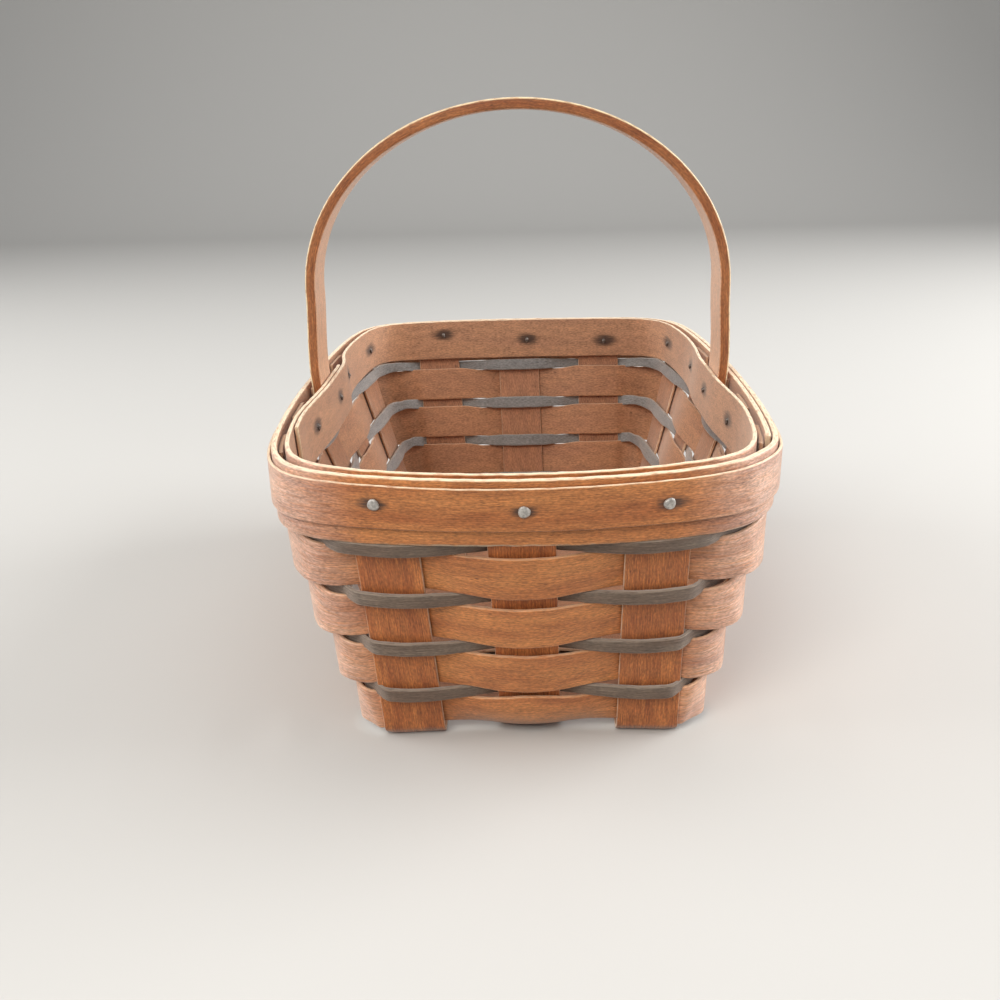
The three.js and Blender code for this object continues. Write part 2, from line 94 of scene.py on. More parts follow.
# %% Heights that follow from the sizes
crossing = stake_thickness + clearance
bottom_level = stake_thickness / 2 + crossing / 2
course_height = (wide_width + narrow_width + 2 * weaver_gap) * math.cos(end_lean)
narrow_rise = (narrow_width + weaver_gap) * math.cos(end_lean)
rim_bottom = bottom_weaver_top + (courses - 1) * course_height + narrow_rise + clearance
rim_top = rim_bottom + rim_height * math.cos(rim_lean)
crossing_flat = stake_width / 2 + clearance / 2
outside_stake = stake_thickness / 2 + clearance
outer_layer = outer_thickness + clearance
print(f"courses rise {course_height:.2f} mm, the rim runs from {rim_bottom:.2f} to {rim_top:.2f} mm")

# %% [markdown]
# ## The wall seen from its edge
#
# A stake lies flat under the basket, folds up through an arc and then leans outwards in a
# straight line until the rim bands pull it nearly upright. The same three stretches, an arc and
# two straight lines, describe every wall. Only the lean and the radius of the fold differ.


# %% Edge-on profiles
def smooth(value, low, high):
    """0 below low, 1 above high and 3s^2 - 2s^3 between them, where s is the share of the way."""
    share = np.clip((value - low) / (high - low), 0, 1)
    return share * share * (3 - 2 * share)


def mix(first, second, share):
    """first + (second - first) * share."""
    return first + (second - first) * share


class Profile:
    """An arc of fold radius r through 90 degrees less the lean, then a straight lean to the rim,
    then the rim's own lean. Lengths are measured along it from where the arc leaves the bottom."""

    def __init__(self, lean, radius):
        self.lean, self.radius = lean, radius
        self.turn = math.pi / 2 - lean
        self.fold_length = radius * self.turn
        self.fold_tangent = radius * math.tan(self.turn / 2)
        self.fold_top = bottom_level + radius * (1 - math.cos(self.turn))
        self.straight = (rim_bottom - self.fold_top) / math.cos(lean)

    def length_to(self, height):
        """r * arccos(1 - rise / r) in the fold, then height over the cosine of each lean."""
        rise = np.clip(height, bottom_level, self.fold_top) - bottom_level
        in_wall = np.clip(height, self.fold_top, rim_bottom) - self.fold_top
        in_rim = np.maximum(height - rim_bottom, 0)
        in_fold = self.radius * np.arccos(1 - rise / self.radius)
        return in_fold + in_wall / math.cos(self.lean) + in_rim / math.cos(rim_lean)

    def at(self, length):
        """Reach outwards, height and slope from level at a length along the profile."""
        angle = np.clip(length / self.radius, 0, self.turn)
        beyond = np.maximum(length - self.fold_length, 0)
        in_wall = np.minimum(beyond, self.straight)
        in_rim = beyond - in_wall
        out = self.radius * np.sin(angle) - self.fold_tangent
        reach = out + in_wall * math.sin(self.lean) + in_rim * math.sin(rim_lean)
        rise = self.radius * (1 - np.cos(angle))
        height = bottom_level + rise + in_wall * math.cos(self.lean) + in_rim * math.cos(rim_lean)
        slope = np.where(in_rim > 0, math.pi / 2 - rim_lean, angle)
        return reach, height, slope

    def reach_at(self, height):
        """The reach where the profile passes a height."""
        return self.at(self.length_to(height))[0]


end_profile = Profile(end_lean, end_fold)
side_profile = Profile(side_lean, side_fold)
middle_profile = Profile(end_lean, middle_fold)
half_length = 2 * side_spacing + crossing_flat + end_flat + middle_profile.fold_tangent
half_width = end_spacing + crossing_flat + side_flat + side_profile.fold_tangent
print(f"the bottom is {2 * half_width:.1f} by {2 * half_length:.1f} mm")

# %% [markdown]
# ## The wall seen from above
#
# Looked down on, the wall at any height is a rectangle with soft corners and slightly bowed
# sides: a superellipse, squarer at the bottom and softer at the rim, where springy bands decide
# the shape. Walking round it at an even pace needs its arc length, so the plan is worked out
# once as a sheet of points, height by height, and then read back by interpolation. The rows
# crowd together near the bottom, where the fold makes the plan grow fastest.

# %% A sheet of points on the wall, by height and by distance round it
rows, columns = 260, 3072
height_span = rim_top + 4 - bottom_level
sheet_heights = bottom_level + height_span * np.linspace(0, 1, rows) ** 2


def plan_points(height, turn):
    """Superellipse |x/a|^n + |y/b|^n = 1 by its angle, its sides bowed by a square law."""
    share = height / rim_top
    a = half_width + side_profile.reach_at(height)
    b = half_length + end_profile.reach_at(height)
    n = 1 / mix(1 / bottom_squareness, 1 / rim_squareness, share)
    angle = (turn - 0.25) * 2 * math.pi
    size = (np.abs(np.cos(angle) / a) ** n + np.abs(np.sin(angle) / b) ** n) ** (-1 / n)
    x, y = size * np.cos(angle), size * np.sin(angle)
    side_drop = mix(bottom_side_bow, rim_side_bow, share) / a * (y / b) ** 2
    end_bow = mix(bottom_end_bow, np.where(y < 0, rim_front_bow, rim_back_bow), share)
    end_drop = end_bow / b * (x / a) ** 2
    lean = rim_shift * np.minimum(height, rim_bottom) / rim_bottom
    return np.stack([x * (1 - side_drop) + lean, y * (1 - end_drop)], -1)


turns = np.linspace(0, 1, 2 * columns + 1)
raw = plan_points(sheet_heights[:, None], turns[None, :])
steps = np.linalg.norm(np.diff(raw, axis=1), axis=2)
arcs = np.concatenate([np.zeros((rows, 1)), np.cumsum(steps, axis=1)], axis=1)
sheet_lengths = arcs[:, -1]
sheet = np.empty((rows, columns + 1, 2))
for row in range(rows):
    even = np.linspace(0, sheet_lengths[row], columns + 1)
    for axis in range(2):
        sheet[row, :, axis] = np.interp(even, arcs[row], raw[row, :, axis])
ahead = np.concatenate([sheet[:, 1:], sheet[:, 1:2]], axis=1)
behind = np.concatenate([sheet[:, -2:-1], sheet[:, :-1]], axis=1)
along = (ahead - behind) / np.linalg.norm(ahead - behind, axis=2, keepdims=True)
wall_sheet = np.concatenate([sheet, along[..., 1:], -along[..., :1]], axis=2)
print(f"round the wall: {sheet_lengths[0]:.0f} mm at the bottom, {sheet_lengths[-1]:.0f} mm above the rim")

# %% [markdown]
# ## Finding a place on the wall
#
# A place round the basket is counted in stakes, anticlockwise from the front left one: place 1
# is the middle of the front, 5 and 13 are where the handle stands, and 2.5 is the first corner.
# Whatever wraps the basket is then a function of place and of the drop down from its top edge.

# %% Places, corners and points
wall_of = np.repeat([0, 1, 2, 3], [3, 5, 3, 5])
from_middle = np.concatenate([np.arange(n) - (n - 1) / 2 for n in (3, 5, 3, 5)])
stakes_round = len(wall_of)
front_middle, right_leg = 1.0, 5.0


def read_wall(height, fraction):
    """Bilinear reading of the wall sheet: x, y and the level direction straight out."""
    at_row = np.sqrt(np.clip((height - bottom_level) / height_span, 0, 1)) * (rows - 1)
    row = np.minimum(at_row.astype(int), rows - 2)
    at_column = (fraction % 1) * columns
    column = np.minimum(at_column.astype(int), columns - 1)
    down, over = (at_row - row)[..., None], (at_column - column)[..., None]
    low = mix(wall_sheet[row, column], wall_sheet[row, column + 1], over)
    high = mix(wall_sheet[row + 1, column], wall_sheet[row + 1, column + 1], over)
    return mix(low, high, down)


def arc_of_stake(number, height, length):
    """Distance round the plan to a stake: its wall's middle plus its own spacings from there."""
    which = number.astype(int) % stakes_round
    spacing = np.where(wall_of[which] % 2 == 0, end_spacing, side_spacing)
    spacing = spacing + fanning * (height - bottom_level)
    wall_middle = (np.floor(number / stakes_round) + wall_of[which] / 4) * length
    by_back_corner = np.isin(which, (7, 11)) * np.sign(from_middle[which])
    leaning = by_back_corner * back_lean * (height - bottom_level)
    return wall_middle + from_middle[which] * spacing + leaning


def wall_at(place, height, aside=0.0):
    """The wall's x, y and outward direction at a place, moved a distance aside round it."""
    place, height, aside = np.broadcast_arrays(place, height, aside)
    length = np.interp(height, sheet_heights, sheet_lengths)
    before = np.floor(place)
    low = arc_of_stake(before, height, length)
    high = arc_of_stake(before + 1, height, length)
    return read_wall(height, (mix(low, high, place - before) + aside) / length)


def round_corner(place):
    """The share of the way round a corner, from the end wall's stake. Nothing on the walls."""
    before = np.floor(place)
    first, second = (wall_of[(before + i).astype(int) % stakes_round] for i in (0, 1))
    from_end = np.where(first % 2 == 0, place - before, before + 1 - place)
    return np.where(first != second, from_end, 0)


def corner_share(place, height):
    """1 midway round a corner, falling to nothing over the stake on each side of it."""
    place, height = np.broadcast_arrays(place, height)
    length = np.interp(height, sheet_heights, sheet_lengths)
    before = np.floor(place)
    gap = arc_of_stake(before + 1, height, length) - arc_of_stake(before, height, length)
    from_end = round_corner(place)
    return smooth(from_end, stake_width / 2 / gap + 0.1, 0.55) * (1 - smooth(from_end, 0.7, 1))


def distance_from(place, upright):
    """Stakes between a place and an upright, or the one opposite it, whichever is nearer."""
    past = (place - upright) % (stakes_round / 2)
    return np.minimum(past, stakes_round / 2 - past)


# %% Hanging a strip on the wall
def hang(place, top, drop):
    """Height, slope and outward shift at a drop below a height. Each is a blend of the side,
    end and middle profiles by how far the wall faces sideways. A corner hangs straight."""
    place, top, drop = np.broadcast_arrays(place, top, drop)
    side = wall_at(place, top)[..., 2] ** 2
    middle = (1 - smooth(distance_from(place, front_middle), 0.3, 1)) * (1 - side)
    weights = (1 - side - middle, side, middle)
    profiles = (end_profile, side_profile, middle_profile)
    hung = [profile.at(profile.length_to(top) - drop) for profile in profiles]
    wall_height = sum(weight * height for weight, (_, height, _) in zip(weights, hung))
    wall_slope = sum(weight * slope for weight, (_, _, slope) in zip(weights, hung))
    middle_height = hung[2][1]
    drawn_in = middle_profile.reach_at(middle_height) - end_profile.reach_at(middle_height)
    corner = corner_share(place, top)
    lean = np.where(top > rim_bottom, rim_lean, corner_lean)
    straight = top - drop * np.cos(lean)
    end_reach = end_profile.reach_at(top) - end_profile.reach_at(straight)
    side_reach = side_profile.reach_at(top) - side_profile.reach_at(straight)
    steeper = mix(end_reach, side_reach, side) - drop * np.sin(lean)
    height = mix(wall_height, straight, corner)
    slope = mix(wall_slope, math.pi / 2 - lean, corner)
    return height, slope, mix(middle * drawn_in, steeper, corner)


def point_at(place, hung, away, aside=0.0):
    """Wall point + outward * shift + facing * away, where facing is square to the slope."""
    height, slope, shift = hung
    wall = wall_at(place, height, aside)
    out = shift + away * np.sin(slope)
    height, out, sink = np.broadcast_arrays(height, out, away * np.cos(slope))
    x, y = (wall[..., i] + wall[..., i + 2] * out for i in (0, 1))
    return np.stack([x, y, height - sink], -1)


front_top = point_at(front_middle, hang(front_middle, rim_top, 0.0), 0.0)
print("front middle at the rim:", front_top.round(2))

# %% [markdown]
# ## Skin and edges
#
# Every wooden piece is a strip, so one function can skin them all. It takes rows of rings, joins
# them into a tube and closes both ends. Each ring is a rectangle with rounded corners: splint is
# cut with a knife and then rubbed, so it has no sharp edges, and the rounding is what catches
# the thin bright line of light along each strip.
#
# The skin also carries what the finish needs to know. The map `grain` runs along the strip in
# real metres, `cut` marks the sawn edges and ends, `inner` the side that faces into the basket,
# `tone` gives each strip a shade of its own, `corner_sheen` marks the outer faces round the corners,
# which get a painted sheen, and `nail` says how far off the nearest nail is, along the strip and
# down it.

# %% Helpers for skins
# The laps make the right side and the back thicker, so the CAD model is moved to centre its box.
group_shift = np.array([-rim_shift - outer_layer / 2, -(trim_thickness + clearance) / 2, 0])


def section(width, thickness, radius, across):
    """A rounded rectangle as drop and side: the outer half going down, then the inner half up.
    Each corner is an arc, radius * (1 - sin) down and radius * (cos - 1) in from the face."""
    bend = np.radians([90, 65, 40, 18, 0])
    corner_drop = radius * (1 - np.sin(bend))
    corner_side = thickness / 2 - radius * (1 - np.cos(bend))
    face = np.linspace(radius + 0.2, width - radius - 0.2, across)
    drop = np.concatenate([corner_drop, face, width - corner_drop[::-1]])
    side = np.concatenate([corner_side, np.full(across, thickness / 2), corner_side[::-1]])
    corner_cut = np.array([1, 1, 0.6, 0.1, 0])
    cut = np.concatenate([corner_cut, np.zeros(across), corner_cut[::-1]])
    halves = (drop, 1), (side, -1), (cut, 1)
    return tuple(np.concatenate([half, sign * half[::-1]]) for half, sign in halves)


def end_inset(distance, radius):
    """How far a ring shrinks near a rounded end: r - sqrt(r^2 - (r - distance)^2)."""
    left = np.clip(radius - distance, 0, radius)
    return radius - np.sqrt(radius**2 - left**2)


def wander(seed, along_mm):
    """A slow unevenness between -1 and 1: the mean of three seeded sines."""
    numbers = np.random.default_rng(seed).uniform(size=(3, 2))
    waves = [np.sin(2 * math.pi * (along_mm / (28 + 60 * size) + phase)) for size, phase in numbers]
    return sum(waves) / 3


# %% A skin from rings
def skin(name, points, cut, inner, tone, nail_offset=None, corner_sheen=0.0):
    """Quads between neighbouring rings and, at each end, quads across from side to side. The
    grain map is (distance along, distance round) in metres, slid along by a share of the tone."""
    count, ring = points.shape[:2]
    placed = (points + group_shift) / 1000
    row, k = np.arange(count - 1)[:, None] * ring, np.arange(ring)[None, :]
    following = (k + 1) % ring
    sides = np.stack([row + k, row + following, row + ring + following, row + ring + k], -1)
    half = np.arange(ring // 2 - 1)
    cap = np.stack([half, ring - 1 - half, ring - 2 - half, half + 1], -1)
    faces = np.concatenate([sides.reshape(-1, 4), cap, (count - 1) * ring + cap[:, ::-1]])

    middle_line = placed.mean(axis=1)
    along = np.concatenate([[0], np.cumsum(np.linalg.norm(np.diff(middle_line, axis=0), axis=1))])
    around = np.linalg.norm(np.diff(placed[count // 2], axis=0, append=placed[count // 2, :1]), axis=1)
    around = np.concatenate([[0], np.cumsum(around)])
    along = along + 0.31 * (tone + 1)
    u = np.stack([along[:-1], along[:-1], along[1:], along[1:]], -1)[:, None, :].repeat(ring, 1)
    v = np.stack([around[:-1], around[1:], around[1:], around[:-1]], -1)[None].repeat(count - 1, 0)
    cap_v = around[cap]
    cap_u = [np.full(cap_v.shape, along[i]) for i in (0, -1)]
    u = np.concatenate([u.ravel(), cap_u[0].ravel(), cap_u[1].ravel()])
    v = np.concatenate([v.ravel(), cap_v.ravel(), cap_v[:, ::-1].ravel()])
    grain = np.stack([u, v], -1).reshape(-1, 4, 2)

    flat = placed.reshape(-1, 3)
    a, b, c, d = (flat[faces[:, i]] for i in range(4))
    volume = np.sum(a * np.cross(b, c) + a * np.cross(c, d)) / 6
    if volume < 0:
        faces, grain = faces[:, ::-1], grain[:, ::-1]
    mesh = bpy.data.meshes.new(name)
    mesh.from_pydata(flat.tolist(), [], faces.tolist())
    mesh.uv_layers.new(name="grain").data.foreach_set("uv", grain.ravel())
    mesh.shade_smooth()
    for label, values in (("cut", cut), ("inner", inner), ("tone", tone), ("corner_sheen", corner_sheen)):
        full = np.broadcast_to(values, (count, ring)).astype(np.float32)
        mesh.attributes.new(label, "FLOAT", "POINT").data.foreach_set("value", full.ravel())
    offset = np.ones((count, ring, 3)) if nail_offset is None else nail_offset
    mesh.attributes.new("nail", "FLOAT_VECTOR", "POINT").data.foreach_set("vector", offset.ravel())
    piece = bpy.data.objects.new(name, mesh)
    bpy.context.scene.collection.objects.link(piece)
    return piece


# %% Showing a piece instead of a CAD node
def stand_in(piece, node, material):
    """Shows a piece instead of a CAD node, and prints how far their boxes differ."""
    piece.data.materials.append(material)
    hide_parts(node)
    low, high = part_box(node)
    corners = np.array(piece.bound_box)
    apart = max(np.abs(corners.min(0) - low).max(), np.abs(corners.max(0) - high).max())
    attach(piece, "root")
    print(f"{node}: {len(piece.data.polygons)} faces, box within {apart * 1000:.2f} mm of the CAD's")
    return piece


# %% [markdown]
# ## The finish on the wood
#
# The splints are a pale, close-grained wood, such as maple, wiped with a honey-brown stain. Such
# a wood has no bold figure. What the eye finds instead is fine streaks along the strip, slow
# changes of shade and short dark ticks where a vessel was cut open. The inside has a colour of its
# own, partly a paler stain and partly painted light. The corners are painted paler and greyer, a
# painted sheen for the light they catch. Cut edges took either more stain or none, and on the
# weavers and bands the bottom edges are painted less pale than the top ones, as painted shade
# below and painted highlight above. Loose fibres give it all a faint bloom, which is what the
# shader's sheen is for. The finish is built in that order from the `grain` map, whose units are
# metres, so that every streak has a real size.
#
# A vessel of such a wood is about 0.1 mm across, too fine to show in the render, so the ticks are
# drawn 0.17 mm wide and the specks 0.4 mm.


# %% Material helpers
def linear(text):
    """The linear colour of an sRGB hex text: ((c + 0.055) / 1.055) ^ 2.4 above the toe."""
    parts = [int(text[i : i + 2], 16) / 255 for i in (1, 3, 5)]
    return [p / 12.92 if p <= 0.04045 else ((p + 0.055) / 1.055) ** 2.4 for p in parts] + [1.0]


multiply = {"operation": "MULTIPLY"}
mix_colours = {"output": 2, "data_type": "RGBA"}
darken = {**mix_colours, "blend_type": "MULTIPLY"}


def add(material, kind, sockets=None, output=0, **settings):
    """Adds a shader node and gives back one of its outputs, where it has any. Sockets take
    constants or the outputs of other nodes."""
    tree = material.node_tree
    node = tree.nodes.new("ShaderNode" + kind)
    for name, value in settings.items():
        setattr(node, name, value)
    for name, value in (sockets or {}).items():
        if isinstance(value, bpy.types.NodeSocket):
            tree.links.new(value, node.inputs[name])
        else:
            node.inputs[name].default_value = value
    return node.outputs[output] if len(node.outputs) else None


def new_material(name):
    """A node material that has no nodes yet."""
    material = bpy.data.materials.new(name)
    material.use_nodes = True
    material.node_tree.nodes.clear()
    return material


def streaks(material, along_mm, across_mm, low, high, detail=3.0):
    """Noise in grain-map metres, stretched to streaks of a real length and width, as 0 to 1."""
    grain = add(material, "UVMap", uv_map="grain")
    stretch = (1000 / along_mm, 1000 / across_mm, 1)
    place = add(material, "VectorMath", {0: grain, 1: stretch}, **multiply)
    noise = add(material, "TexNoise", {"Vector": place, "Scale": 1.0, "Detail": detail})
    return add(material, "MapRange", {"Value": noise, "From Min": low, "From Max": high})


# %% Iron stains round the nails
def nail_stain(m, inner):
    """Iron blackens the tannin in damp wood: full at the nail, nothing about 4 mm along or 2.5
    across outside, and half as far again inside, where the turned-over point lies on the wood."""
    offset = add(m, "Attribute", output="Vector", attribute_name="nail")
    scaled = add(m, "VectorMath", {0: offset, 1: (180, 310, 0)}, **multiply)
    away = add(m, "VectorMath", {0: scaled}, output="Value", operation="LENGTH")
    fade = add(m, "MapRange", {"Value": inner, "To Min": 1.5, "To Max": 1.0})
    away = add(m, "Math", {0: away, 1: fade}, **multiply)
    rags = add(m, "Math", {0: streaks(m, 5, 0.5, 0.2, 0.8), 1: 0.4}, **multiply)
    ragged = add(m, "Math", {0: away, 1: rags}, operation="SUBTRACT")
    limits = {"Value": ragged, "From Min": 0.1, "From Max": 0.8, "To Min": 0.9, "To Max": 0.0}
    return add(m, "MapRange", limits, interpolation_type="SMOOTHSTEP")


# %% Splint, with its wear and its stains
def splint(name, light, dark, inside, edge, roughness, edge_share):
    """Stained splint, in turn: streaks, slow shade, the inside's own colour, partly a paler stain and
    partly painted light, specks and mottle, ticks, a painted sheen on the corners, cut edges and nail
    stains. Edge_share is how pale the cut edges are."""
    m = new_material(name)
    labels = ("inner", "tone", "cut", "corner_sheen")
    carried = [add(m, "Attribute", output="Fac", attribute_name=label) for label in labels]
    inner, tone, cut, corner_sheen = carried
    fine = streaks(m, 7, 0.26, 0.3, 0.7, detail=4.0)
    colour = add(m, "Mix", {"Factor": fine, 6: linear(dark), 7: linear(light)}, **mix_colours)
    broad = add(m, "Math", {0: streaks(m, 34, 5, 0.38, 0.7), 1: 0.6}, **multiply)
    colour = add(m, "Mix", {"Factor": broad, 6: colour, 7: linear("#b98a6c")}, **darken)
    # The inside faces get a colour of their own, partly a paler stain and partly painted light, toned down
    # for the shade inside the basket.
    inside_share = add(m, "Math", {0: inner, 1: 0.72}, **multiply)
    colour = add(m, "Mix", {"Factor": inside_share, 6: colour, 7: linear(inside)}, **mix_colours)

    specks = add(m, "Math", {0: streaks(m, 1.1, 0.4, 0.3, 0.7), 1: 0.62}, **multiply)
    mottle = add(m, "Math", {0: streaks(m, 5, 2.0, 0.3, 0.7), 1: 0.3}, **multiply)
    shade = add(m, "Math", {0: tone, 1: 0.1}, **multiply)
    for part in (specks, mottle, 0.58):
        shade = add(m, "Math", {0: shade, 1: part}, operation="ADD")
    colour = add(m, "HueSaturation", {"Value": shade, "Color": colour})
    short, clusters = streaks(m, 1.8, 0.17, 0.6, 0.74, detail=0.0), streaks(m, 12, 5, 0.4, 0.7)
    ticks = add(m, "Math", {0: short, 1: clusters}, **multiply)
    ticks = add(m, "Math", {0: ticks, 1: 0.75}, **multiply)
    colour = add(m, "Mix", {"Factor": ticks, 6: colour, 7: linear("#5a3520")}, **darken)

    # The corners are painted paler and greyer, a painted sheen for the light they catch there.
    paler = add(m, "HueSaturation", {"Saturation": 0.62, "Value": 1.24, "Color": colour})
    corner_sheen = add(m, "Math", {0: corner_sheen, 1: streaks(m, 7, 0.6, 0.1, 0.6)}, **multiply)
    colour = add(m, "Mix", {"Factor": corner_sheen, 6: colour, 7: paler}, **mix_colours)
    # Cut edges are painted pale, partly bare wood and partly a painted highlight.
    pale_edge = add(m, "Math", {0: cut, 1: edge_share}, **multiply)
    pale_edge = add(m, "Math", {0: pale_edge, 1: streaks(m, 3, 0.4, 0.3, 0.52)}, **multiply)
    colour = add(m, "Mix", {"Factor": pale_edge, 6: colour, 7: linear(edge)}, **mix_colours)
    black = nail_stain(m, inner)
    colour = add(m, "Mix", {"Factor": black, 6: colour, 7: linear("#33231c")}, **mix_colours)

    fibre = streaks(m, 5, 0.16, 0.3, 0.7)
    bump = add(m, "Bump", {"Height": fibre, "Strength": 0.4, "Distance": 0.00006})
    gloss = add(m, "MapRange", {"Value": fine, "To Min": roughness + 0.06, "To Max": roughness - 0.06})
    looks = {"Base Color": colour, "Roughness": gloss, "Normal": bump, "IOR": 1.5}
    fuzz = {"Sheen Weight": 0.55, "Sheen Roughness": 0.45, "Sheen Tint": linear("#fff0e4")}
    add(m, "OutputMaterial", {"Surface": add(m, "BsdfPrincipled", {**looks, **fuzz})})
    return m


# %% The five woods
# The colours are the streaks' light and dark, the inside and the cut edges. The stakes took the
# most stain, the dyed splints are a flat grey-brown, and the bands and the handle were cut after
# staining, so their edges are bare wood, made paler still as painted highlight. The inside colours
# are partly painted light: toned down for the shade inside the walls, and paler on the handle,
# whose inner face catches the light.
stake_wood = splint("honey stained splint, stakes", "#d68646", "#9d5326", "#9f765b", "#e6caaa", 0.5, 0.75)
weaver_wood = splint("honey stained splint, weavers", "#df9355", "#b7723a", "#a47a5d", "#e8c49e", 0.48, 0.4)
dyed_wood = splint("grey-brown dyed splint", "#877565", "#57483b", "#8a8d8d", "#a39686", 0.5, 0.5)
band_wood = splint("honey stained ash band", "#dd9356", "#b5713c", "#b18b6f", "#f2dfbc", 0.48, 0.92)
handle_wood = splint("honey stained bent handle", "#c17e4b", "#8c512c", "#dcae8a", "#f6dfb2", 0.42, 1.0)

# %% [markdown]
# ## Weavers
#
# A weaver passes in front of one stake and behind the next. It cannot turn sharply, so seen from
# above it is close to a cosine wave, just deep enough for its faces to clear the edges of the
# stakes. The wide ones go outside the odd stakes and the narrow ones outside the even stakes,
# which locks the weave. Each begins and ends behind the same stake, one end over the other.
#
# Corners are where a basket stops looking like a drawing. The stiff wide splints push straight
# outwards past the last stake and crowd together, edge to edge, and the narrow ones dive behind
# them. Round the two back corners the narrow ones cut straight across instead. On the walls each
# splint also presses a little over the edge of its neighbour, so that hardly any light comes
# through.

# %% Strips that run round the basket
stations_per_stake = 28

# How far each nail was driven from its stake's middle, in millimetres anticlockwise and down.
driven = np.random.default_rng(40).uniform(-0.7, 0.7, (stakes_round, 2))
driven[[0, 1, 2]] = (-0.5, -1.2), (0.7, -0.2), (0.7, -0.2)
driven[[8, 9, 10]] = (-2.0, 1.5), (-3.5, 0.6), (-2.3, -2.0)
nail_aside, nail_lower = driven.T


def stations(start, end, radius=0.3):
    """Even places between two, with extra ones where the ends are rounded, and their insets."""
    near = np.array([0, 0.12, 0.4, 1]) * radius / side_spacing
    count = int((end - start) * stations_per_stake)
    between = np.linspace(start, end, count + 1)[1:-1]
    places = np.concatenate([start + near, between, end - near[::-1]])
    from_end = np.minimum(places - start, end - places) * side_spacing
    return places, end_inset(from_end, radius)


def round_strip(
    name, start, end, top, width, thickness, away, seed, edges, low_cut=1.0, lift=0.0, across=9, nails=None
):
    """Rings of a rounded rectangle, hung from a top edge that wanders by a tenth of a millimetre.
    Edges gives how far the top and bottom edges rise at a place, and low_cut how pale the bottom
    one is: below 1 it is painted darker than the top one, as painted shade. Lift raises the front's
    and back's middle. Nails is the strip's drop from the rim's top, where nails stain it."""
    places, inset = stations(start, end)
    drop, side, cut = section(width, thickness, min(0.32, thickness * 0.35), across)
    place = places[:, None]
    run = place * side_spacing
    top_rise, low_rise = edges(place)
    narrowed = 1 - inset[:, None] / (width / 2)
    thinned = (1 - inset[:, None] / (thickness / 2)) * (1 + 0.05 * wander(seed + 1, run))
    fall = width / 2 + (drop[None, :] - width / 2) * narrowed * (1 + 0.006 * wander(seed + 2, run))
    fall = fall * (1 + (top_rise - low_rise) / width)
    uneven = 0.1 * wander(seed + 3, run) + 0.06 * wander(seed + 5, 8 * run)
    edge = top + lift * (1 - smooth(distance_from(place, front_middle), 0, 0.45)) + uneven
    hung = hang(place, edge + top_rise, fall)
    points = point_at(place, hung, away(place) + side[None, :] * thinned)
    ends = (inset[:, None] > 0.3 * inset.max()) * 1.0
    # Bottom edges are painted less pale than top ones by low_cut, a painted shade.
    cut = np.where(drop > width / 2, low_cut, 1) * cut
    tone = np.random.default_rng(seed + 4).uniform(-1, 1)
    offset = None if nails is None else nail_distance(place, fall + nails, points.shape[:2])
    f = round_corner(place)
    # A painted sheen on the outer faces round the corners, where they catch the light.
    corner_sheen = smooth(f, 0.05, 0.5) * (1 - smooth(f, 0.75, 1)) * (side > 0)[None, :]
    inner = (side < 0)[None, :] * 1.0
    return skin(name, points, np.maximum(cut[None, :], ends), inner, tone, offset, corner_sheen)


def nail_distance(place, fall, shape):
    """(along, down, 0) in metres from the nearest stake's nail. Along has no sign, so that it
    doesn't pass through nothing halfway between two stakes."""
    nearest = np.round(place)
    which = nearest.astype(int) % stakes_round
    along = np.abs((place - nearest) * side_spacing - nail_aside[which]) / 1000
    down = (fall - nail_drop - nail_lower[which]) / 1000
    return np.stack([np.broadcast_to(along, shape), np.broadcast_to(down, shape), np.zeros(shape)], -1)


# %% Paths of the weavers
edge_phase = math.pi * stake_width / 2 / min(end_spacing, side_spacing)
early_swell = 0.9


def front_share(place, near=2.5, far=4.5):
    """1 along the front and round its corners, 0 along the back and round its corners. Near and
    far, in stakes from the front's middle, say where it starts and stops falling."""
    from_front = np.abs((place - front_middle + stakes_round / 2) % stakes_round - stakes_round / 2)
    return 1 - smooth(from_front, near, far)


def weaver_path(thickness, outside_odd, lap_at, top, tuck, chord, dive_depth, dive_from):
    """side * A * cos(pi * place), stepping inwards where it laps. Round a corner, with f the share
    of the way, a wide weaver swells outwards early. A narrow one settles at the dive's depth from
    dive_from on, or cuts straight across a back corner at the chord's depth. Tuck draws every
    weaver in at the front left corner."""
    amplitude = (outside_stake + thickness / 2) / math.cos(edge_phase)
    side = -1 if outside_odd else 1
    lap_start = lap_at + stakes_round - half_lap

    def away(place):
        f = round_corner(place)
        wave = side * (amplitude * np.cos(math.pi * place) - corner_swell * corner_share(place, top))
        if outside_odd:
            wave = wave + early_swell * smooth(f, 0.2, 0.33) * (1 - smooth(f, 0.33, 0.55))
        else:
            front = front_share(place)
            diving = smooth(f, dive_from, dive_from + 0.18) * (1 - smooth(f, 0.75, 0.95))
            straight = smooth(f, 0.12, 0.5) * (1 - smooth(f, 0.55, 1))
            wave = mix(wave, mix(chord, dive_depth, front), mix(straight, diving, front))
        front_left = place % stakes_round > stakes_round - 1
        tucked = front_left * smooth(f, 0.36, 0.62) * (1 - smooth(f, 0.7, 1))
        return wave + tuck * tucked - (thickness + clearance) * smooth(place, lap_start - 0.5, lap_start)

    return away


